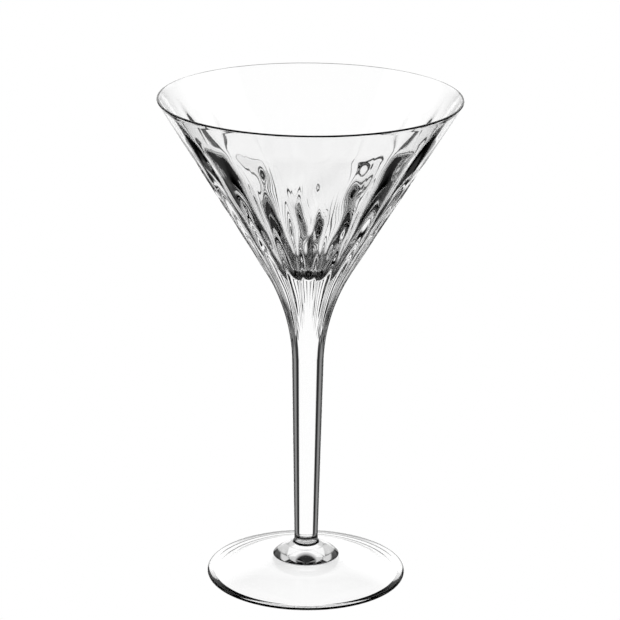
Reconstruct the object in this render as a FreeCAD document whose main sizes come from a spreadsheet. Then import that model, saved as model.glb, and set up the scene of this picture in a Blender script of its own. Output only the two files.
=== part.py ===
import FreeCAD, Part

# A stemmed cocktail glass made of three pieces of clear glass that are fused end to end:
#   bowl  the fluted cone that holds the drink, with the solid neck under it
#   stem  the drawn, slightly tapered rod with a small flare where it meets the foot
#   foot  the pressed disc, hollow underneath, with a low domed boss on top
# Every piece is a solid of revolution about the Z axis.  Z = 0 is the table.

import math
import os

import Sketcher
from FreeCAD import Base

# Driving dimensions, in millimetres and degrees.
DIMENSIONS = [
    # the whole glass
    ("overall_height", 175.0, "table to the top of the lip"),
    ("lip_radius", 0.42, "radius of the fire-polished lip"),
    ("rim_radius", 52.5, "outside radius of the lip"),
    ("stem_taper", 1.2, "angle between the side of the stem and the axis"),
    # outside of the bowl
    ("cone_half_angle", 31.3, "angle between the side of the bowl and the axis"),
    ("neck_radius", 5.58, "radius where the bowl is joined to the stem"),
    ("neck_height", 80.0, "height of the joint between bowl and stem"),
    # inside of the bowl
    ("band_height", 165.0, "bottom of the thin band under the lip"),
    ("band_thickness", 1.05, "thickness of the glass at the bottom of the band"),
    ("floor_height", 114.0, "lowest point of the space for the drink"),
    ("floor_radius", 14.0, "radius of the rounded floor of the bowl"),
    # flutes
    ("flute_count", 20.0, "flutes round the bowl"),
    ("flute_start", 88.0, "height where the flutes begin"),
    ("flute_end", 164.5, "height where the flutes run out"),
    ("flute_depth", 2.8, "sets the depth of a flute: depth = this * share * (1 - share ^ flute_fade)"),
    ("flute_fade", 3.0, "a larger number keeps the depth up for longer before the flutes run out"),
    ("flute_width", 0.2, "radius of the hollow of a flute as a share of the radius of the plain bowl"),
    ("flute_overrun", 0.07, "how far the tool runs on past both ends, as a share of the length"),
    # stem
    ("collar_height", 10.9, "height of the joint between stem and foot"),
    ("collar_radius", 6.5, "radius of the joint between stem and foot"),
    ("collar_flare_radius", 3.0, "hollow of the flare at the bottom of the stem"),
    # foot
    ("foot_radius", 35.3, "outside radius of the foot"),
    ("foot_edge_radius", 1.0, "radius of the rounded edge of the foot"),
    ("boss_radius", 11.7, "radius of the corner where the boss and the top of the foot would meet"),
    ("boss_height", 7.5, "height of that corner"),
    ("boss_dome_radius", 14.0, "radius of the domed top of the boss"),
    ("boss_blend_radius", 0.7, "hollow that blends the boss into the top of the foot"),
    ("rest_radius", 32.5, "inside radius of the flat ring that the glass stands on"),
    ("hollow_depth", 5.4, "depth of the hollow under the middle of the foot"),
]

# Sizes that follow from the driving dimensions.
WORKED_OUT = [
    ("lip_x", "rim_radius - lip_radius", "centre of the round of the lip, from the axis"),
    ("lip_y", "overall_height - lip_radius", "centre of the round of the lip, above the table"),
    ("touch_x", "lip_x + lip_radius * cos(cone_half_angle * 1deg)", "where the cone touches the lip"),
    ("touch_y", "lip_y - lip_radius * sin(cone_half_angle * 1deg)", "where the cone touches the lip"),
    ("cone_turn", "cone_half_angle - stem_taper", "angle turned by the neck"),
    ("cone_reach", "touch_x - neck_radius - (touch_y - neck_height) * tan(cone_half_angle * 1deg)",
     "radius of the line of the cone at the joint, less the radius of the neck"),
    ("neck_tangent", "-cone_reach * cos(cone_half_angle * 1deg) / sin(cone_turn * 1deg)",
     "length of either tangent of the neck"),
    ("neck_bend", "neck_tangent / tan(cone_turn * 0.5deg)", "radius of the hollow bend of the neck"),
    ("bend_x", "neck_radius + neck_bend * cos(stem_taper * 1deg)", "centre of the bend"),
    ("bend_y", "neck_height - neck_bend * sin(stem_taper * 1deg)", "centre of the bend"),
    ("cone_x", "bend_x - neck_bend * cos(cone_half_angle * 1deg)", "where the neck becomes the cone"),
    ("cone_y", "bend_y + neck_bend * sin(cone_half_angle * 1deg)", "where the neck becomes the cone"),
]

SHEET_NAME = "Dimensions"
STATIONS = 10    # level sections that shape the tool for a flute

# Names for the parts of a sketch element.
START = 1
END = 2
CENTRE = 3
ORIGIN = -1
X_AXIS = -1
AXIS = -2


def station_rows():
    """Rows for each level section of a flute: height, radius of the plain bowl, depth and tool."""
    rows = []
    for number in range(STATIONS):
        name = f"station_{number}"
        share = f"((1 + 2 * flute_overrun) * {number} / {STATIONS - 1} - flute_overrun)"
        on_neck = f"bend_x - sqrt(neck_bend * neck_bend - ({name}_y - bend_y) * ({name}_y - bend_y))"
        on_cone = f"touch_x - (touch_y - {name}_y) * tan(cone_half_angle * 1deg)"
        rows += [
            (f"{name}_y", f"flute_start + {share} * (flute_end - flute_start)", "height"),
            (f"{name}_plain", f"{name}_y < cone_y ? {on_neck} : {on_cone}", "radius of the plain bowl"),
            (f"{name}_depth", f"flute_depth * {share} * (1 - {share} ^ flute_fade)", "depth"),
            (f"{name}_tool", f"flute_width * {name}_plain", "radius of the tool"),
            (f"{name}_x", f"{name}_plain - {name}_depth + {name}_tool", "centre of the tool"),
        ]
    return rows


def make_sheet(doc):
    """Fill the spreadsheet that drives every piece and return the value of each of its rows."""
    sheet = doc.addObject("Spreadsheet::Sheet", SHEET_NAME)
    rows = [(alias, str(value), meaning) for alias, value, meaning in DIMENSIONS]
    rows += [(alias, f"={formula}", meaning) for alias, formula, meaning in WORKED_OUT + station_rows()]
    for row, (alias, content, meaning) in enumerate(rows, start=1):
        sheet.set(f"A{row}", alias)
        sheet.set(f"B{row}", content)
        sheet.set(f"C{row}", meaning)
        sheet.setAlias(f"B{row}", alias)
    doc.recompute()
    return {alias: float(sheet.get(alias)) for alias, _, _ in rows}


def origin_plane(body, role):
    """One of the three origin planes of a body."""
    for feature in body.Origin.OriginFeatures:
        if feature.Role == role:
            return feature
    raise RuntimeError(f"{body.Label} has no {role}")


class Profile:
    """A sketch on an origin plane of a body.

    On the XZ plane x is the distance from the axis and y is the height.
    """

    def __init__(self, body, name, plane="XZ_Plane"):
        self.sketch = body.newObject("Sketcher::SketchObject", name)
        self.sketch.AttachmentSupport = (origin_plane(body, plane), "")
        self.sketch.MapMode = "FlatFace"

    def line(self, start, end):
        """Add a straight line and return its number."""
        segment = Part.LineSegment(Base.Vector(*start, 0), Base.Vector(*end, 0))
        return self.sketch.addGeometry(segment, False)

    def guide(self, start, end):
        """Add a construction line and return its number."""
        segment = Part.LineSegment(Base.Vector(*start, 0), Base.Vector(*end, 0))
        return self.sketch.addGeometry(segment, True)

    def arc(self, centre, radius, first_degrees, last_degrees):
        """Add an arc that runs counter-clockwise and return its number."""
        circle = Part.Circle(Base.Vector(*centre, 0), Base.Vector(0, 0, 1), radius)
        arc = Part.ArcOfCircle(circle, math.radians(first_degrees), math.radians(last_degrees))
        return self.sketch.addGeometry(arc, False)

    def circle(self, centre, radius):
        """Add a full circle and return its number."""
        circle = Part.Circle(Base.Vector(*centre, 0), Base.Vector(0, 0, 1), radius)
        return self.sketch.addGeometry(circle, False)

    def rule(self, *parts):
        """Add a geometric constraint."""
        return self.sketch.addConstraint(Sketcher.Constraint(*parts))

    def size(self, expression, *parts):
        """Add a dimension and bind it to the spreadsheet."""
        number = self.rule(*parts)
        self.sketch.setExpression(f"Constraints[{number}]", expression)
        return number


def cell(alias):
    """The way an expression names a driving dimension."""
    return f"{SHEET_NAME}.{alias}"


def revolve(body, sketch, name):
    """Turn a closed profile all the way round the Z axis."""
    turned = body.newObject("PartDesign::Revolution", name)
    turned.Profile = sketch
    turned.ReferenceAxis = (sketch, ["V_Axis"])
    turned.Angle = 360.0
    turned.Refine = False
    return turned


def bowl_profile(body, size):
    """Closed half-section of the plain bowl: neck, cone, lip, band, inside wall and rounded floor."""
    lip = size["lip_radius"]
    lip_x = size["lip_x"]
    lip_y = size["lip_y"]
    lean_degrees = size["cone_half_angle"]
    lean = math.radians(lean_degrees)
    taper = math.radians(size["stem_taper"])
    neck_x = size["neck_radius"]
    neck_y = size["neck_height"]
    bend = size["neck_bend"]
    touch = (size["touch_x"], size["touch_y"])

    # The band under the lip gets thicker downwards; its inside touches the lip.
    band_y = size["band_height"]
    outside = touch[0] - (touch[1] - band_y) * math.tan(lean)
    band_x = outside - size["band_thickness"] / math.cos(lean)
    to_lip = math.hypot(lip_x - band_x, lip_y - band_y)
    band = math.atan2(lip_x - band_x, lip_y - band_y) - math.asin(lip / to_lip)
    inner = (lip_x - lip * math.cos(band), lip_y + lip * math.sin(band))

    # The inside wall runs from the band to the rounded floor and touches the floor.
    floor = size["floor_radius"]
    floor_y = size["floor_height"] + floor
    to_floor = math.hypot(band_x, band_y - floor_y)
    wall = math.atan2(band_x, band_y - floor_y) - math.asin(floor / to_floor)
    wall_end = (floor * math.cos(wall), floor_y - floor * math.sin(wall))

    p = Profile(body, "bowl_profile")
    base = p.line((0, neck_y), (neck_x, neck_y))
    neck = p.arc((size["bend_x"], size["bend_y"]), bend, 180 - lean_degrees, 180 - size["stem_taper"])
    cone = p.line((size["cone_x"], size["cone_y"]), touch)
    rim = p.arc((lip_x, lip_y), lip, -lean_degrees, 180 - math.degrees(band))
    thin = p.line(inner, (band_x, band_y))
    inside = p.line((band_x, band_y), wall_end)
    bottom = p.arc((0, floor_y), floor, -90, -math.degrees(wall))
    core = p.line((0, size["floor_height"]), (0, neck_y))

    p.rule("Coincident", core, END, base, START)
    p.rule("PointOnObject", base, START, AXIS)
    p.rule("Horizontal", base)
    p.rule("Coincident", base, END, neck, END)
    p.rule("Tangent", neck, START, cone, START)
    p.rule("Tangent", cone, END, rim, START)
    p.rule("Tangent", rim, END, thin, START)
    p.rule("Coincident", thin, END, inside, START)
    p.rule("Tangent", inside, END, bottom, END)
    p.rule("PointOnObject", bottom, CENTRE, AXIS)
    p.rule("Coincident", bottom, START, core, START)
    p.rule("PointOnObject", core, START, AXIS)

    p.size(cell("neck_radius"), "DistanceX", base, START, base, END, neck_x)
    p.size(cell("neck_height"), "DistanceY", ORIGIN, START, base, START, neck_y)
    p.size(cell("neck_bend"), "Radius", neck, bend)
    p.size(cell("lip_x"), "DistanceX", ORIGIN, START, rim, CENTRE, lip_x)
    p.size(cell("lip_y"), "DistanceY", ORIGIN, START, rim, CENTRE, lip_y)
    p.size(cell("lip_radius"), "Radius", rim, lip)
    p.size(f"(90 - {cell('cone_half_angle')}) * 1deg", "Angle", base, cone, math.pi / 2 - lean)
    p.size(cell("band_height"), "DistanceY", ORIGIN, START, thin, END, band_y)
    p.size(cell("band_thickness"), "Distance", thin, END, cone, size["band_thickness"])
    p.size(cell("floor_radius"), "Radius", bottom, floor)
    p.size(cell("floor_height"), "DistanceY", ORIGIN, START, bottom, START, size["floor_height"])
    return p.sketch


def flute_section(body, size, number):
    """Level section of the tool for a flute, a circle whose near side is the floor of the flute."""
    name = f"station_{number}"
    centre = size[f"{name}_x"]
    radius = size[f"{name}_tool"]
    p = Profile(body, f"flute_section_{number}", "XY_Plane")
    p.sketch.AttachmentOffset = FreeCAD.Placement(Base.Vector(0, 0, size[f"{name}_y"]), FreeCAD.Rotation())
    p.sketch.setExpression("AttachmentOffset.Base.z", cell(f"{name}_y"))
    tool = p.circle((centre, 0), radius)
    p.rule("PointOnObject", tool, CENTRE, X_AXIS)
    p.size(cell(f"{name}_tool"), "Radius", tool, radius)
    p.size(cell(f"{name}_x"), "DistanceX", ORIGIN, START, tool, CENTRE, centre)
    return p.sketch


def make_bowl(doc, size):
    """The bowl: one sector with one flute pressed into its outside, repeated all the way round.

    A flute stays inside its own sector.  The sectors grow together into one solid; their faces
    are kept apart because a single cone face with every flute cut into it can't be measured well.
    """
    body = doc.addObject("PartDesign::Body", "bowl")
    body.Label = "bowl"
    sector = revolve(body, bowl_profile(body, size), "plain_sector")
    sector.Midplane = True
    sector.setExpression("Angle", f"360deg / {cell('flute_count')}")
    sections = [flute_section(body, size, number) for number in range(STATIONS)]
    doc.recompute()
    plain_volume = sector.Shape.Volume

    flute = body.newObject("PartDesign::SubtractiveLoft", "flute")
    flute.Profile = sections[0]
    flute.Sections = sections[1:]
    flute.Ruled = False
    flute.Refine = False
    doc.recompute()
    if not 0 < flute.Shape.Volume < plain_volume:
        raise RuntimeError("the flute removed nothing")

    ring = body.newObject("PartDesign::PolarPattern", "fluted_bowl")
    ring.Originals = [sector, flute]
    ring.Axis = (sections[0], ["N_Axis"])
    ring.Angle = 360.0
    ring.Refine = False
    ring.setExpression("Occurrences", cell("flute_count"))
    body.Tip = ring
    return body


def make_stem(doc, size):
    """The stem: a tapered rod whose bottom end flares out to a thin collar."""
    taper = math.radians(size["stem_taper"])
    top_x = size["neck_radius"]
    top_y = size["neck_height"]
    collar_x = size["collar_radius"]
    collar_y = size["collar_height"]
    flare = size["collar_flare_radius"]

    # The flare touches the side of the stem and passes through the edge of the collar.
    side_at_collar = top_x - (top_y - collar_y) * math.tan(taper)
    offset_x = side_at_collar + flare / math.cos(taper) - collar_x
    lean = math.tan(taper)
    # Height of the centre of the flare above the collar, from its distance to the edge.
    square = 1 + lean * lean
    half = offset_x * lean
    rest = offset_x * offset_x - flare * flare
    rise = (-half + math.sqrt(half * half - square * rest)) / square
    centre_x = collar_x + offset_x + rise * lean
    centre_y = collar_y + rise
    touch_x = centre_x - flare * math.cos(taper)
    touch_y = centre_y + flare * math.sin(taper)
    edge_degrees = math.degrees(math.atan2(collar_y - centre_y, collar_x - centre_x)) % 360

    body = doc.addObject("PartDesign::Body", "stem")
    body.Label = "stem"
    p = Profile(body, "stem_profile")
    bottom = p.line((0, collar_y), (collar_x, collar_y))
    hollow = p.arc((centre_x, centre_y), flare, 180 - size["stem_taper"], edge_degrees)
    side = p.line((touch_x, touch_y), (top_x, top_y))
    top = p.line((top_x, top_y), (0, top_y))
    core = p.line((0, top_y), (0, collar_y))

    p.rule("Coincident", core, END, bottom, START)
    p.rule("PointOnObject", bottom, START, AXIS)
    p.rule("Horizontal", bottom)
    p.rule("Coincident", bottom, END, hollow, END)
    p.rule("Tangent", hollow, START, side, START)
    p.rule("Coincident", side, END, top, START)
    p.rule("Horizontal", top)
    p.rule("Coincident", top, END, core, START)
    p.rule("PointOnObject", core, START, AXIS)
    p.size(cell("collar_radius"), "DistanceX", bottom, START, bottom, END, collar_x)
    p.size(cell("collar_height"), "DistanceY", ORIGIN, START, bottom, START, collar_y)
    p.size(cell("neck_radius"), "DistanceX", core, START, side, END, top_x)
    p.size(cell("neck_height"), "DistanceY", ORIGIN, START, core, START, top_y)
    p.size(cell("collar_flare_radius"), "Radius", hollow, flare)
    p.size(f"(90 - {cell('stem_taper')}) * 1deg", "Angle", bottom, side, math.pi / 2 - taper)
    revolve(body, p.sketch, "turned_stem")
    return body


def make_foot(doc, size):
    """The foot: a thin disc on a flat rest ring, hollow underneath, with a low domed boss on top."""
    edge = size["foot_edge_radius"]
    edge_x = size["foot_radius"] - edge
    boss_x = size["boss_radius"]
    boss_y = size["boss_height"]
    dome = size["boss_dome_radius"]
    collar_x = size["collar_radius"]
    collar_y = size["collar_height"]
    blend = size["boss_blend_radius"]
    rest_x = size["rest_radius"]
    depth = size["hollow_depth"]

    # The hollow is part of a large sphere that meets the rest ring.
    hollow = (rest_x * rest_x + depth * depth) / (2 * depth)
    hollow_y = depth - hollow
    hollow_last = math.degrees(math.atan2(-hollow_y, rest_x))

    # The top of the foot runs from the corner of the boss down to the rounded edge.
    to_edge = math.hypot(edge_x - boss_x, boss_y - edge)
    rise = math.atan2(boss_y - edge, edge_x - boss_x) - math.asin(edge / to_edge)
    touch_x = edge_x + edge * math.sin(rise)
    touch_y = edge + edge * math.cos(rise)

    # The dome passes through the edge of the collar and the corner of the boss.
    across = boss_x - collar_x
    down = collar_y - boss_y
    chord = math.hypot(across, down)
    from_chord = math.sqrt(dome * dome - chord * chord / 4)
    dome_x = (collar_x + boss_x) / 2 - from_chord * down / chord
    dome_y = (collar_y + boss_y) / 2 - from_chord * across / chord
    dome_last = math.degrees(math.atan2(collar_y - dome_y, collar_x - dome_x))

    # The blend touches both; its centre is found from the dome, square to the top and along it.
    square = (boss_x - dome_x) * math.sin(rise) + (boss_y - dome_y) * math.cos(rise) + blend
    along = math.sqrt((dome + blend) ** 2 - square ** 2)
    blend_x = dome_x + along * math.cos(rise) + square * math.sin(rise)
    blend_y = dome_y - along * math.sin(rise) + square * math.cos(rise)
    dome_first = math.degrees(math.atan2(blend_y - dome_y, blend_x - dome_x))
    top_x = blend_x - blend * math.sin(rise)
    top_y = blend_y - blend * math.cos(rise)

    body = doc.addObject("PartDesign::Body", "foot")
    body.Label = "foot"
    p = Profile(body, "foot_profile")
    under = p.arc((0, hollow_y), hollow, hollow_last, 90)
    ring = p.line((rest_x, 0), (edge_x, 0))
    round_edge = p.arc((edge_x, edge), edge, -90, 90 - math.degrees(rise))
    top = p.line((touch_x, touch_y), (top_x, top_y))
    corner = p.arc((blend_x, blend_y), blend, 180 + dome_first, 270 - math.degrees(rise))
    boss = p.arc((dome_x, dome_y), dome, dome_first, dome_last)
    joint = p.line((collar_x, collar_y), (0, collar_y))
    core = p.line((0, collar_y), (0, depth))
    boss_line = p.guide((0, boss_y), (boss_x, boss_y))

    p.rule("Coincident", core, END, under, END)
    p.rule("PointOnObject", core, START, AXIS)
    p.rule("PointOnObject", under, CENTRE, AXIS)
    p.rule("PointOnObject", under, END, AXIS)
    p.rule("Coincident", under, START, ring, START)
    p.rule("Horizontal", ring)
    p.rule("Tangent", ring, END, round_edge, START)
    p.rule("Tangent", round_edge, END, top, START)
    p.rule("Tangent", top, END, corner, END)
    p.rule("Tangent", corner, START, boss, START)
    p.rule("Coincident", boss, END, joint, START)
    p.rule("Horizontal", joint)
    p.rule("Coincident", joint, END, core, START)
    p.rule("Horizontal", boss_line)
    p.rule("PointOnObject", boss_line, START, AXIS)
    p.rule("PointOnObject", boss_line, END, top)
    p.rule("PointOnObject", boss_line, END, boss)
    p.rule("DistanceY", ORIGIN, START, ring, START, 0.0)
    p.size(cell("hollow_depth"), "DistanceY", ORIGIN, START, under, END, depth)
    p.size(cell("rest_radius"), "DistanceX", ORIGIN, START, ring, START, rest_x)
    p.size(f"{cell('foot_radius')} - {cell('foot_edge_radius')}",
           "DistanceX", ORIGIN, START, ring, END, edge_x)
    p.size(cell("foot_edge_radius"), "Radius", round_edge, edge)
    p.size(cell("collar_height"), "DistanceY", ORIGIN, START, core, START, collar_y)
    p.size(cell("collar_radius"), "DistanceX", core, START, boss, END, collar_x)
    p.size(cell("boss_height"), "DistanceY", ORIGIN, START, boss_line, START, boss_y)
    p.size(cell("boss_radius"), "DistanceX", boss_line, START, boss_line, END, boss_x)
    p.size(cell("boss_dome_radius"), "Radius", boss, dome)
    p.size(cell("boss_blend_radius"), "Radius", corner, blend)
    revolve(body, p.sketch, "turned_foot")
    return body


def check_document(doc, pieces):
    """Stop when a feature failed or a piece isn't one valid solid."""
    for item in doc.Objects:
        if "Invalid" in item.State or "Error" in item.State:
            raise RuntimeError(f"{item.Label} is in the state {item.State}")
    for piece in pieces:
        shape = piece.Shape
        if shape.isNull() or not shape.isValid() or len(shape.Solids) != 1:
            raise RuntimeError(f"{piece.Label} isn't one valid solid")


def export(pieces):
    """Write each piece to its own file in the frame of the whole glass."""
    os.makedirs("parts", exist_ok=True)
    for piece in pieces:
        piece.Shape.exportStep(f"parts/{piece.Label}.step")
        box = piece.Shape.BoundBox
        print(f"{piece.Label}: z {box.ZMin:.2f} to {box.ZMax:.2f}, width {box.XLength:.2f}, "
              f"volume {piece.Shape.Volume / 1000:.1f} ml, faces {len(piece.Shape.Faces)}")


def main():
    doc = FreeCAD.newDocument("cocktail_glass")
    size = make_sheet(doc)
    pieces = [make_bowl(doc, size), make_stem(doc, size), make_foot(doc, size)]
    doc.recompute()
    check_document(doc, pieces)
    export(pieces)


main()
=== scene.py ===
import math

import bpy
import numpy as np
from mathutils import Matrix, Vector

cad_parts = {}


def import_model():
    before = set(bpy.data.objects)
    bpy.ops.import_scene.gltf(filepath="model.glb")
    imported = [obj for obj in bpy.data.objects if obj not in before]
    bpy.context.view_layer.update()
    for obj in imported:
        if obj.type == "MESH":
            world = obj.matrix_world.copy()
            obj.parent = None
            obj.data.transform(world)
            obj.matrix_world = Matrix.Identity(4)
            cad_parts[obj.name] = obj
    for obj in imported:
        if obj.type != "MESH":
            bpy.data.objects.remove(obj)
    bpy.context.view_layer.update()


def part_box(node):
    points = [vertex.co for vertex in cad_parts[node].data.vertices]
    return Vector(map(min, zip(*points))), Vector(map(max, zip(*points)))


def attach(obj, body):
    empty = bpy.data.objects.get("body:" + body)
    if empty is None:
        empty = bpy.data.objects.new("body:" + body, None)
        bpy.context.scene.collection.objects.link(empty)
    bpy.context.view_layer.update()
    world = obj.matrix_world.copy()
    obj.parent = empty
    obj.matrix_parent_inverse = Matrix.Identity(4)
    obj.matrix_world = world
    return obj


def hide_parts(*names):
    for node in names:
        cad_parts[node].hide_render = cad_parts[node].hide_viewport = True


MM = 0.001

# ---------------------------------------------------------------------------------------------
# Shape of the glass, in millimetres and radians.  The overall sizes come from the frame.
# ---------------------------------------------------------------------------------------------
LIP_RADIUS = 0.42
CONE_ANGLE = math.radians(31.3)    # between the outside of the bowl and its axis
STEM_TAPER = math.radians(1.2)
NECK_RADIUS = 5.58
BAND_HEIGHT = 165.0                # lower edge of the thin band under the lip
BAND_THICKNESS = 1.05
FLOOR_HEIGHT = 114.0
FLOOR_RADIUS = 14.0

# A flute is FLUTE_DEPTH * share * (1 - share ** FLUTE_FADE) deep, where share goes from 0 at its
# start to 1 at its end.  It is an arc across, whose radius is FLUTE_WIDTH times the bowl's.
FLUTES = 20
FLUTE_START = 88.0
FLUTE_END = 164.5
FLUTE_DEPTH = 2.8
FLUTE_FADE = 3
FLUTE_WIDTH = 0.2

COLLAR_FLARE = 3.0

# BOSS_RADIUS and BOSS_HEIGHT are where the boss and the top of the foot would meet in a corner.
FOOT_EDGE = 1.0
BOSS_RADIUS = 11.7
BOSS_HEIGHT = 7.5
BOSS_DOME = 14.0
BOSS_BLEND = 0.7
REST_RADIUS = 32.5
HOLLOW_DEPTH = 5.4

# Small differences that the mould and the fire-polishing leave.  The ridges are rounded, in full
# where the bowl is at least RIDGE_FULL in radius, and the flutes differ in height and in depth.
SEED = 5
RIDGE_ROUND = 0.6
RIDGE_FULL = 25
FLUTE_TOP_SPREAD = 2.0
FLUTE_DEPTH_SPREAD = 0.12

# Waviness inside and outside.  A wave goes ROUNDS times round the bowl, turns by RISES radians a
# millimetre of height, and is between WAVE_LEAST and 1 times RIPPLE high.
RIPPLE_WAVES = 10
WAVE_LEAST = 0.5
INSIDE_RIPPLE = 0.14
INSIDE_ROUNDS = (6, 22)
INSIDE_RISES = (0.04, 0.35)
OUTSIDE_RIPPLE = 0.04
OUTSIDE_ROUNDS = (3, 24)
OUTSIDE_RISES = (0.2, 0.6)

# Lengths over which the waviness grows from nothing: inside, down from the band and up from the
# floor; outside, up from OUTSIDE_FROM and down from the band.
INSIDE_FADE_BAND = 12
INSIDE_FADE_FLOOR = 6
OUTSIDE_FROM = 100
OUTSIDE_FADE_LOW = 20
OUTSIDE_FADE_BAND = 8

# How finely the meshes are divided.  The columns of the bowl crowd towards the ridges when
# RIDGE_CROWDING is above 1.  The rest are the points along each part of an outline.
COLUMNS_PER_FLUTE = 24
RIDGE_CROWDING = 1.35
ROUND_COLUMNS = 360
BOWL_POINTS = 130
LIP_POINTS = 12
BAND_POINTS = 7
WALL_POINTS = 34
FLOOR_POINTS = 24
FLARE_POINTS = 24
STEM_POINTS = 90
HOLLOW_POINTS = 60
REST_POINTS = 5
EDGE_POINTS = 20
TOP_POINTS = 40
BLEND_POINTS = 14
DOME_POINTS = 40

# How nearly upright the normal of a fused joint's face is, and how near it is to the joint.
LEVEL_NORMAL = 0.999
LEVEL_MATCH = 1e-3

# Place of the fused joint among the materials of a piece; the glass comes first.
JOINT_SLOT = 1


# ---------------------------------------------------------------------------------------------
# Outlines
# ---------------------------------------------------------------------------------------------
class Bowl:
    """Outside and inside of the bowl as radii at a height."""

    def __init__(self, rim_radius, height, neck_height):
        self.neck_height = neck_height
        self.lip_x = rim_radius - LIP_RADIUS
        self.lip_y = height - LIP_RADIUS
        self.touch_x = self.lip_x + LIP_RADIUS * math.cos(CONE_ANGLE)
        self.touch_y = self.lip_y - LIP_RADIUS * math.sin(CONE_ANGLE)
        # The neck bends from the taper of the stem into the cone.
        reach = (self.touch_x - NECK_RADIUS) - (self.touch_y - neck_height) * math.tan(CONE_ANGLE)
        tangent = -reach * math.cos(CONE_ANGLE) / math.sin(CONE_ANGLE - STEM_TAPER)
        self.bend = tangent / math.tan((CONE_ANGLE - STEM_TAPER) / 2)
        self.bend_x = NECK_RADIUS + self.bend * math.cos(STEM_TAPER)
        self.bend_y = neck_height - self.bend * math.sin(STEM_TAPER)
        self.cone_y = self.bend_y + self.bend * math.sin(CONE_ANGLE)
        # Inside: a thin band under the lip, then a steeper wall that touches the round floor.
        self.band_x = self.plain(BAND_HEIGHT) - BAND_THICKNESS / math.cos(CONE_ANGLE)
        across, up = self.lip_x - self.band_x, self.lip_y - BAND_HEIGHT
        self.band = math.atan2(across, up) - math.asin(LIP_RADIUS / math.hypot(across, up))
        self.inner = (self.lip_x - LIP_RADIUS * math.cos(self.band),
                      self.lip_y + LIP_RADIUS * math.sin(self.band))
        self.floor_y = FLOOR_HEIGHT + FLOOR_RADIUS
        up = BAND_HEIGHT - self.floor_y
        to_floor = math.hypot(self.band_x, up)
        self.wall = math.atan2(self.band_x, up) - math.asin(FLOOR_RADIUS / to_floor)
        self.wall_end = (FLOOR_RADIUS * math.cos(self.wall),
                         self.floor_y - FLOOR_RADIUS * math.sin(self.wall))

    def plain(self, z):
        """Outside radius before the flutes are formed."""
        if z <= self.cone_y:
            return self.bend_x - math.sqrt(self.bend ** 2 - (z - self.bend_y) ** 2)
        return self.touch_x - (self.touch_y - z) * math.tan(CONE_ANGLE)

    def outside(self, z, angle, hand):
        """Outside radius at a height, for an array of angles: the plain bowl less the flutes."""
        plain = self.plain(z)
        pitch = 2 * math.pi / FLUTES
        nearest = np.floor(angle / pitch + 0.5)
        which = nearest.astype(int) % FLUTES
        away = angle - nearest * pitch
        share = (z + hand["top"][which] - FLUTE_START) / (FLUTE_END - FLUTE_START)
        depth = FLUTE_DEPTH * share * (1 - share ** FLUTE_FADE) * (1 + hand["depth"][which])
        tool = FLUTE_WIDTH * plain
        centre = plain - depth + tool
        side = centre * np.sin(away)
        half = np.sqrt(np.maximum(tool ** 2 - side ** 2, 0))
        hollow = np.where(np.abs(side) < tool, centre * np.cos(away) - half, plain + tool)
        return soft_min(hollow, plain, RIDGE_ROUND * min(1.0, plain / RIDGE_FULL))


def soft_min(a, b, width):
    """The smaller of two values, with the corner between them rounded."""
    gap = a - b
    return b + (gap - np.sqrt(gap ** 2 + width ** 2)) / 2


def arc_points(centre, radius, first, last, count):
    """Points on an arc between two angles in radians."""
    return [(centre[0] + radius * math.cos(a), centre[1] + radius * math.sin(a))
            for a in np.linspace(first, last, count)]


def line_points(start, end, count):
    """Points on a straight line, both ends included."""
    return [(start[0] + (end[0] - start[0]) * t, start[1] + (end[1] - start[1]) * t)
            for t in np.linspace(0, 1, count)]


# ---------------------------------------------------------------------------------------------
# Meshes
# ---------------------------------------------------------------------------------------------
def ring_mesh(name, rings, closings, corners):
    """A closed mesh from rings of points, each an (x, y, z) of arrays in millimetres.

    The first and last rings are closed to centre points at the two heights in closings.
    The surface turns a sharp corner at the rings numbered in corners.
    """
    columns = len(rings[0][0])
    points = np.concatenate([np.stack(ring, axis=1) for ring in rings])
    centres = np.array([(0.0, 0.0, height) for height in closings])
    points = np.concatenate([points, centres]) * MM
    near = np.arange(columns)
    far = (near + 1) % columns
    faces = []
    for row in range(len(rings) - 1):
        low, high = row * columns, (row + 1) * columns
        faces += np.stack([low + near, low + far, high + far, high + near], axis=1).tolist()
    first, last = len(rings) * columns, len(rings) * columns + 1
    top = (len(rings) - 1) * columns
    faces += [[first, f, n] for n, f in zip(near.tolist(), far.tolist())]
    faces += [[last, top + n, top + f] for n, f in zip(near.tolist(), far.tolist())]
    mesh = bpy.data.meshes.new(name)
    mesh.from_pydata(points.tolist(), [], faces)
    mesh.update()
    mesh.polygons.foreach_set("use_smooth", [True] * len(mesh.polygons))
    mark_corners(mesh, columns, [row % len(rings) for row in corners])
    piece = bpy.data.objects.new(name, mesh)
    bpy.context.scene.collection.objects.link(piece)
    return piece


def mark_corners(mesh, columns, rows):
    """Keep the shading sharp along whole rings of edges."""
    ends = np.empty(len(mesh.edges) * 2, dtype=np.int64)
    mesh.edges.foreach_get("vertices", ends)
    ring = ends.reshape(-1, 2) // columns
    same = (ring[:, 0] == ring[:, 1]) & np.isin(ring[:, 0], rows)
    for index in np.nonzero(same)[0].tolist():
        mesh.edges[index].use_edge_sharp = True


def turned(name, outline, bottom, top, corners):
    """A piece turned about the Z axis from its outline, bottom to top along the outside."""
    angle = np.arange(ROUND_COLUMNS) * 2 * math.pi / ROUND_COLUMNS
    rings = [(r * np.cos(angle), r * np.sin(angle), np.full_like(angle, z)) for r, z in outline]
    return ring_mesh(name, rings, (bottom, top), corners)


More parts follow.
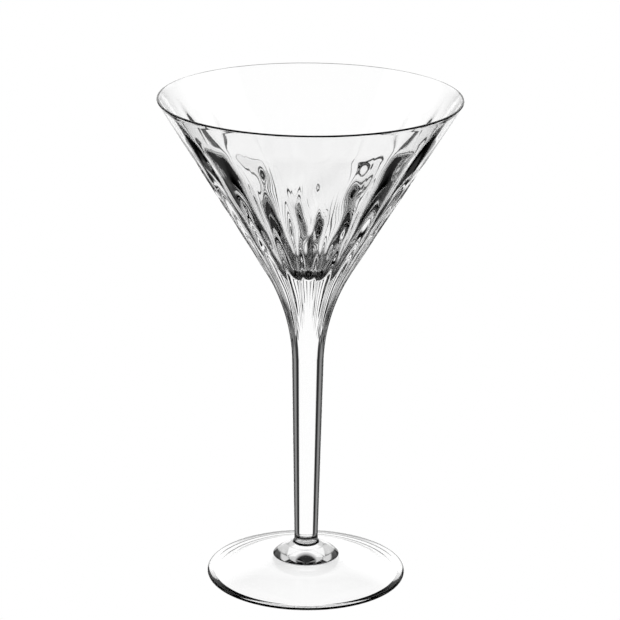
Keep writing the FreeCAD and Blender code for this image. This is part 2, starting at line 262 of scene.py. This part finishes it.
def mark_joints(piece, heights):
    """Give the flat faces at a fused joint the second material of the piece."""
    for polygon in piece.data.polygons:
        level = abs(polygon.normal.z) > LEVEL_NORMAL
        if level and any(abs(polygon.center.z / MM - height) < LEVEL_MATCH for height in heights):
            polygon.material_index = JOINT_SLOT
            polygon.use_smooth = False


def flute_angles():
    """Angles round the bowl, closer together at the ridges between the flutes."""
    pitch = 2 * math.pi / FLUTES
    step = np.arange(COLUMNS_PER_FLUTE) / COLUMNS_PER_FLUTE * 2 - 1
    spread = np.sign(step) * (1 - (1 - np.abs(step)) ** RIDGE_CROWDING)
    one = spread * pitch / 2
    return np.concatenate([one + number * pitch for number in range(FLUTES)])


def make_waves(chance, rounds, rises, size):
    """Random waves: how many go round the bowl, how fast they rise, two phases and a height."""
    return [(int(chance.integers(*rounds)), chance.uniform(*rises), chance.uniform(0, 2 * math.pi),
             chance.uniform(0, 2 * math.pi), chance.uniform(WAVE_LEAST, 1.0) * size)
            for _ in range(RIPPLE_WAVES)]


def ripple(angle, z, waves):
    """Gentle waviness of a surface at a height, for an array of angles."""
    total = np.zeros_like(angle)
    for round_count, rise, shift, phase, size in waves:
        total += size * np.cos(round_count * angle + shift) * math.cos(rise * z + phase)
    return total


def fade(value, start, length):
    """Rises from 0 to 1 as a value goes on from start by length."""
    return min(1.0, max(0.0, (value - start) / length))


def make_bowl_mesh(bowl):
    """The bowl: up the fluted outside, over the lip, down the inside and across the floor."""
    chance = np.random.default_rng(SEED)
    hand = {
        "depth": chance.uniform(-1, 1, FLUTES) * FLUTE_DEPTH_SPREAD,
        "top": chance.uniform(-1, 1, FLUTES) * FLUTE_TOP_SPREAD,
    }
    inside = make_waves(chance, INSIDE_ROUNDS, INSIDE_RISES, INSIDE_RIPPLE)
    outside = make_waves(chance, OUTSIDE_ROUNDS, OUTSIDE_RISES, OUTSIDE_RIPPLE)
    angle = flute_angles()
    neck = bowl.neck_height
    outline = [(np.full_like(angle, NECK_RADIUS), neck)]
    for z in np.linspace(neck, bowl.touch_y, BOWL_POINTS)[1:]:
        share = fade(z, OUTSIDE_FROM, OUTSIDE_FADE_LOW) * fade(-z, -BAND_HEIGHT, OUTSIDE_FADE_BAND)
        outline.append((bowl.outside(z, angle, hand) + share * ripple(angle, z, outside), z))
    lip_centre = (bowl.lip_x, bowl.lip_y)
    lip = arc_points(lip_centre, LIP_RADIUS, -CONE_ANGLE, math.pi - bowl.band, LIP_POINTS)
    band = line_points(bowl.inner, (bowl.band_x, BAND_HEIGHT), BAND_POINTS)
    outline += lip[1:] + band[1:]
    for radius, z in line_points((bowl.band_x, BAND_HEIGHT), bowl.wall_end, WALL_POINTS)[1:]:
        share = fade(-z, -BAND_HEIGHT, INSIDE_FADE_BAND)
        share *= fade(z, bowl.wall_end[1], INSIDE_FADE_FLOOR)
        outline.append((radius + share * ripple(angle, z, inside), z))
    floor = arc_points((0, bowl.floor_y), FLOOR_RADIUS, -bowl.wall, -math.pi / 2, FLOOR_POINTS)
    outline += floor[1:-1]
    rings = [(radius * np.cos(angle), radius * np.sin(angle), np.full_like(angle, z))
             for radius, z in outline]
    piece = ring_mesh("bowl_glass", rings, (neck, FLOOR_HEIGHT), [0])
    mark_joints(piece, [neck])
    return piece


def make_stem_mesh(neck_height, collar_radius, collar_height):
    """The stem: a tapered rod with a flare that ends at the edge of the collar."""
    slope = math.tan(STEM_TAPER)
    side_at_collar = NECK_RADIUS - (neck_height - collar_height) * slope
    offset = side_at_collar + COLLAR_FLARE / math.cos(STEM_TAPER) - collar_radius
    square = 1 + slope * slope
    half = offset * slope
    rest = offset * offset - COLLAR_FLARE ** 2
    rise = (-half + math.sqrt(half * half - square * rest)) / square
    centre = (collar_radius + offset + rise * slope, collar_height + rise)
    first = math.atan2(collar_height - centre[1], collar_radius - centre[0])
    flare = arc_points(centre, COLLAR_FLARE, first, -math.pi - STEM_TAPER, FLARE_POINTS)
    side = line_points(flare[-1], (NECK_RADIUS, neck_height), STEM_POINTS)
    outline = flare + side[1:]
    piece = turned("stem_glass", outline, collar_height, neck_height, [0, -1])
    mark_joints(piece, [collar_height, neck_height])
    return piece


def make_foot_mesh(foot_radius, collar_radius, collar_height):
    """The foot: hollow underneath, flat rest ring, rounded edge, sloping top and domed boss."""
    edge_x = foot_radius - FOOT_EDGE
    hollow = (REST_RADIUS ** 2 + HOLLOW_DEPTH ** 2) / (2 * HOLLOW_DEPTH)
    hollow_y = HOLLOW_DEPTH - hollow
    hollow_last = math.atan2(-hollow_y, REST_RADIUS)
    # The top of the foot runs from the corner of the boss down to the rounded edge.
    to_edge = math.hypot(edge_x - BOSS_RADIUS, BOSS_HEIGHT - FOOT_EDGE)
    to_corner = math.atan2(BOSS_HEIGHT - FOOT_EDGE, edge_x - BOSS_RADIUS)
    rise = to_corner - math.asin(FOOT_EDGE / to_edge)
    # The dome passes through the edge of the collar and the corner of the boss.
    across, down = BOSS_RADIUS - collar_radius, collar_height - BOSS_HEIGHT
    chord = math.hypot(across, down)
    from_chord = math.sqrt(BOSS_DOME ** 2 - chord ** 2 / 4)
    dome = ((collar_radius + BOSS_RADIUS) / 2 - from_chord * down / chord,
            (collar_height + BOSS_HEIGHT) / 2 - from_chord * across / chord)
    dome_last = math.atan2(collar_height - dome[1], collar_radius - dome[0])
    # The blend touches both; its centre is found from the dome, square to the top and along it.
    corner = (BOSS_RADIUS - dome[0]) * math.sin(rise) + (BOSS_HEIGHT - dome[1]) * math.cos(rise)
    square = corner + BOSS_BLEND
    along = math.sqrt((BOSS_DOME + BOSS_BLEND) ** 2 - square ** 2)
    blend = (dome[0] + along * math.cos(rise) + square * math.sin(rise),
             dome[1] - along * math.sin(rise) + square * math.cos(rise))
    dome_first = math.atan2(blend[1] - dome[1], blend[0] - dome[0])
    top_end = (blend[0] - BOSS_BLEND * math.sin(rise), blend[1] - BOSS_BLEND * math.cos(rise))
    outline = arc_points((0, hollow_y), hollow, math.pi / 2, hollow_last, HOLLOW_POINTS)[1:]
    rest_corner = len(outline) - 1
    outline += line_points((REST_RADIUS, 0), (edge_x, 0), REST_POINTS)[1:]
    round_edge = (edge_x, FOOT_EDGE)
    outline += arc_points(round_edge, FOOT_EDGE, -math.pi / 2, math.pi / 2 - rise, EDGE_POINTS)[1:]
    outline += line_points(outline[-1], top_end, TOP_POINTS)[1:]
    blend_first = 1.5 * math.pi - rise
    outline += arc_points(blend, BOSS_BLEND, blend_first, math.pi + dome_first, BLEND_POINTS)[1:]
    outline += arc_points(dome, BOSS_DOME, dome_first, dome_last, DOME_POINTS)[1:]
    piece = turned("foot_glass", outline, HOLLOW_DEPTH, collar_height, [rest_corner, -1])
    mark_joints(piece, [collar_height])
    return piece


# ---------------------------------------------------------------------------------------------
# Materials
# ---------------------------------------------------------------------------------------------
GLASS_INDEX = 1.52

# Faint ripples in the surface of each piece, drawn by a noise texture: its scale along the three
# axes (below 1 lengthens the ripples), its overall scale, and the height of the ripples in
# millimetres.
GLASS_RIPPLES = {
    "bowl": ((1.0, 1.0, 0.35), 60.0, 0.02),
    "stem": ((1.0, 1.0, 0.08), 120.0, 0.01),
    "foot": ((1.0, 1.0, 1.0), 25.0, 0.01),
}


def new_material(name):
    """A material with no nodes in it yet, and its node tree."""
    material = bpy.data.materials.new(name)
    material.use_nodes = True
    material.node_tree.nodes.clear()
    return material, material.node_tree


def glass(name, axes, scale, ripple_height):
    """Clear glass with faint ripples, as GLASS_RIPPLES describes them."""
    material, tree = new_material(name)
    nodes, links = tree.nodes, tree.links
    place = nodes.new("ShaderNodeTexCoord")
    mapping = nodes.new("ShaderNodeMapping")
    mapping.inputs["Scale"].default_value = axes
    noise = nodes.new("ShaderNodeTexNoise")
    noise.inputs["Scale"].default_value = scale
    noise.inputs["Detail"].default_value = 1.0
    bump = nodes.new("ShaderNodeBump")
    bump.inputs["Strength"].default_value = 1.0
    bump.inputs["Distance"].default_value = ripple_height * MM
    body = nodes.new("ShaderNodeBsdfGlass")
    body.inputs["IOR"].default_value = GLASS_INDEX
    body.inputs["Roughness"].default_value = 0.0
    output = nodes.new("ShaderNodeOutputMaterial")
    links.new(place.outputs["Object"], mapping.inputs["Vector"])
    links.new(mapping.outputs["Vector"], noise.inputs["Vector"])
    links.new(noise.outputs["Fac"], bump.inputs["Height"])
    links.new(bump.outputs["Normal"], body.inputs["Normal"])
    links.new(body.outputs["BSDF"], output.inputs["Surface"])
    return material


def fused_joint():
    """The plane where two pieces are fused: light passes straight through."""
    material, tree = new_material("fused_joint")
    clear = tree.nodes.new("ShaderNodeBsdfTransparent")
    output = tree.nodes.new("ShaderNodeOutputMaterial")
    tree.links.new(clear.outputs["BSDF"], output.inputs["Surface"])
    return material


# ---------------------------------------------------------------------------------------------
# Studio
# ---------------------------------------------------------------------------------------------
WHITE = (1.0, 1.0, 1.0, 1.0)

# Light by its direction, as angles from the camera's line of sight.  WIDE and the SIDE angles are
# sideways, to both sides; TOP, BOTTOM, OVER_FROM and OVER_TO are upwards.  A SOFT angle is half
# the width of an edge.  BACKDROP_LEVEL is the strength of the screen behind the glass, and the
# other levels are shares of it.
BACKDROP_LEVEL = 1.08
BACKDROP_WIDE = math.radians(25)
BACKDROP_SOFT = math.radians(2)
BACKDROP_TOP = math.radians(48)
BACKDROP_BOTTOM = math.radians(-22)
DARK_LEVEL = 0.025
EDGE_SOFT = math.radians(5)

# Light from above.
OVER_LEVEL = 0.65
OVER_FROM = math.radians(25)
OVER_TO = math.radians(52)
OVER_WIDE = math.radians(120)

# Grey at both sides: it grows from FROM to FULL and dies away from FADE to END.
SIDE_LEVEL = 0.25
SIDE_FROM = math.radians(33)
SIDE_FULL = math.radians(40)
SIDE_FADE = math.radians(47)
SIDE_END = math.radians(56)

# The floor of the studio, in metres: half its side, and how far it lies under the glass.
STAGE_REACH = 3.0
STAGE_GAP = 0.0002

# The camera: where it stands in heights of the glass, and how it is turned, tilted and rolled.
CAMERA_BACK = 5.5106
CAMERA_UP = 2.3463
CAMERA_TURN = math.radians(0.034)
CAMERA_TILT = math.radians(17.918)
CAMERA_ROLL = math.radians(0.59)
CAMERA_SENSOR = 36.0
CAMERA_LENS = 168.58
CAMERA_CLIP = (0.01, 50.0)

# How many surfaces of the glass the light may pass before it is given up.
BOUNCES = 32


def step_node(tree, value, low, high, before, after):
    """A smooth change from one level to another as a value goes from low to high."""
    node = tree.nodes.new("ShaderNodeMapRange")
    node.interpolation_type = "SMOOTHSTEP"
    node.inputs["From Min"].default_value = low
    node.inputs["From Max"].default_value = high
    node.inputs["To Min"].default_value = before
    node.inputs["To Max"].default_value = after
    tree.links.new(value, node.inputs["Value"])
    return node.outputs["Result"]


def soft_edge(tree, value, at, soft, before, after):
    """A smooth change from one level to another, over soft to either side of a value."""
    return step_node(tree, value, at - soft, at + soft, before, after)


def math_node(tree, operation, a, b=None):
    """One step of arithmetic on numbers or on other nodes' outputs."""
    node = tree.nodes.new("ShaderNodeMath")
    node.operation = operation
    for socket, value in zip(node.inputs, (a, b)):
        if value is None:
            continue
        if isinstance(value, (int, float)):
            socket.default_value = value
        else:
            tree.links.new(value, socket)
    return node.outputs["Value"]


def product(tree, first, *others):
    """Several levels multiplied together."""
    for other in others:
        first = math_node(tree, "MULTIPLY", first, other)
    return first


def studio_group():
    """Level of the light that arrives from a direction.

    A bright screen stands behind the glass, with light from above, grey at the sides and dark
    beyond.  Directions are measured from the camera's line of sight, so the screen is always
    behind the glass.
    """
    tree = bpy.data.node_groups.new("studio_light", "ShaderNodeTree")
    tree.interface.new_socket("Direction", in_out="INPUT", socket_type="NodeSocketVector")
    tree.interface.new_socket("Level", in_out="OUTPUT", socket_type="NodeSocketFloat")
    given = tree.nodes.new("NodeGroupInput")
    result = tree.nodes.new("NodeGroupOutput")
    turn = tree.nodes.new("ShaderNodeVectorTransform")
    turn.vector_type = "VECTOR"
    turn.convert_from = "WORLD"
    turn.convert_to = "CAMERA"
    split = tree.nodes.new("ShaderNodeSeparateXYZ")
    tree.links.new(given.outputs["Direction"], turn.inputs["Vector"])
    tree.links.new(turn.outputs["Vector"], split.inputs["Vector"])
    across = math_node(tree, "ABSOLUTE", split.outputs["X"])
    sideways = math_node(tree, "ARCTAN2", across, split.outputs["Z"])
    upwards = math_node(tree, "ARCSINE", split.outputs["Y"])

    screen = product(
        tree,
        soft_edge(tree, sideways, BACKDROP_WIDE, BACKDROP_SOFT, 1.0, DARK_LEVEL),
        soft_edge(tree, upwards, BACKDROP_TOP, EDGE_SOFT, 1.0, DARK_LEVEL),
        soft_edge(tree, upwards, BACKDROP_BOTTOM, EDGE_SOFT, DARK_LEVEL, 1.0))
    sides = product(
        tree,
        step_node(tree, sideways, SIDE_FROM, SIDE_FULL, 0.0, SIDE_LEVEL),
        step_node(tree, sideways, SIDE_FADE, SIDE_END, 1.0, 0.0))
    over = product(
        tree,
        soft_edge(tree, upwards, OVER_FROM, EDGE_SOFT, 0.0, OVER_LEVEL),
        soft_edge(tree, upwards, OVER_TO, EDGE_SOFT, 1.0, 0.0),
        soft_edge(tree, sideways, OVER_WIDE, EDGE_SOFT, 1.0, 0.0))
    low = math_node(tree, "ADD", screen, sides)
    tree.links.new(math_node(tree, "MAXIMUM", low, over), result.inputs["Level"])
    return tree


def studio_level(tree, group, direction):
    """Level of the studio for a shader: the camera itself sees plain white."""
    lamp = tree.nodes.new("ShaderNodeGroup")
    lamp.node_tree = group
    tree.links.new(direction, lamp.inputs["Direction"])
    lit = math_node(tree, "MULTIPLY", lamp.outputs["Level"], BACKDROP_LEVEL)
    path = tree.nodes.new("ShaderNodeLightPath")
    choose = tree.nodes.new("ShaderNodeMix")
    choose.data_type = "FLOAT"
    choose.inputs["B"].default_value = 1.0
    tree.links.new(path.outputs["Is Camera Ray"], choose.inputs["Factor"])
    tree.links.new(lit, choose.inputs["A"])
    return choose.outputs["Result"]


def make_sky(group):
    """The studio seen in every direction that the floor doesn't cover."""
    world = bpy.data.worlds.new("studio")
    bpy.context.scene.world = world
    world.use_nodes = True
    tree = world.node_tree
    tree.nodes.clear()
    place = tree.nodes.new("ShaderNodeTexCoord")
    sky = tree.nodes.new("ShaderNodeBackground")
    sky.inputs["Color"].default_value = WHITE
    output = tree.nodes.new("ShaderNodeOutputWorld")
    tree.links.new(studio_level(tree, group, place.outputs["Generated"]), sky.inputs["Strength"])
    tree.links.new(sky.outputs["Background"], output.inputs["Surface"])


def make_floor(group):
    """A pale floor that gives off the same light as the studio behind it."""
    material, tree = new_material("pale_floor")
    geometry = tree.nodes.new("ShaderNodeNewGeometry")
    away = tree.nodes.new("ShaderNodeVectorMath")
    away.operation = "SCALE"
    away.inputs["Scale"].default_value = -1.0
    glow = tree.nodes.new("ShaderNodeEmission")
    glow.inputs["Color"].default_value = WHITE
    output = tree.nodes.new("ShaderNodeOutputMaterial")
    tree.links.new(geometry.outputs["Incoming"], away.inputs["Vector"])
    tree.links.new(studio_level(tree, group, away.outputs["Vector"]), glow.inputs["Strength"])
    tree.links.new(glow.outputs["Emission"], output.inputs["Surface"])

    near, far = -STAGE_REACH, STAGE_REACH
    mesh = bpy.data.meshes.new("floor")
    mesh.from_pydata([(near, near, 0), (far, near, 0), (far, far, 0), (near, far, 0)],
                     [], [(0, 1, 2, 3)])
    mesh.materials.append(material)
    floor = bpy.data.objects.new("floor", mesh)
    floor.location.z = -STAGE_GAP
    bpy.context.scene.collection.objects.link(floor)


def make_camera(height):
    """The camera at the viewing angle of the photograph, for a glass of this height in metres."""
    data = bpy.data.cameras.new("camera")
    camera = bpy.data.objects.new("camera", data)
    bpy.context.scene.collection.objects.link(camera)
    data.sensor_width = CAMERA_SENSOR
    data.lens = CAMERA_LENS
    data.clip_start, data.clip_end = CAMERA_CLIP
    camera.location = (0.0, -CAMERA_BACK * height, CAMERA_UP * height)
    aim = Matrix.Rotation(-CAMERA_TURN, 3, "Z")
    aim = aim @ Matrix.Rotation(math.pi / 2 - CAMERA_TILT, 3, "X")
    aim = aim @ Matrix.Rotation(CAMERA_ROLL, 3, "Z")
    camera.rotation_mode = "QUATERNION"
    camera.rotation_quaternion = aim.to_quaternion()
    bpy.context.scene.camera = camera


def main():
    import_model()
    bowl_low, bowl_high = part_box("bowl")
    stem_low, stem_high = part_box("stem")
    foot_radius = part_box("foot")[1].x / MM
    neck_height = bowl_low.z / MM
    collar_height = stem_low.z / MM
    collar_radius = stem_high.x / MM
    joint = fused_joint()
    pieces = {
        "bowl": make_bowl_mesh(Bowl(bowl_high.x / MM, bowl_high.z / MM, neck_height)),
        "stem": make_stem_mesh(neck_height, collar_radius, collar_height),
        "foot": make_foot_mesh(foot_radius, collar_radius, collar_height),
    }
    for node, piece in pieces.items():
        piece.data.materials.append(glass(f"{node}_glass", *GLASS_RIPPLES[node]))
        piece.data.materials.append(joint)
        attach(piece, "root")
        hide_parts(node)

    light = studio_group()
    make_sky(light)
    make_floor(light)
    make_camera(bowl_high.z)
    scene = bpy.context.scene
    scene.view_settings.view_transform = "Standard"
    scene.cycles.max_bounces = BOUNCES
    scene.cycles.transmission_bounces = BOUNCES
    scene.cycles.transparent_max_bounces = BOUNCES


main()
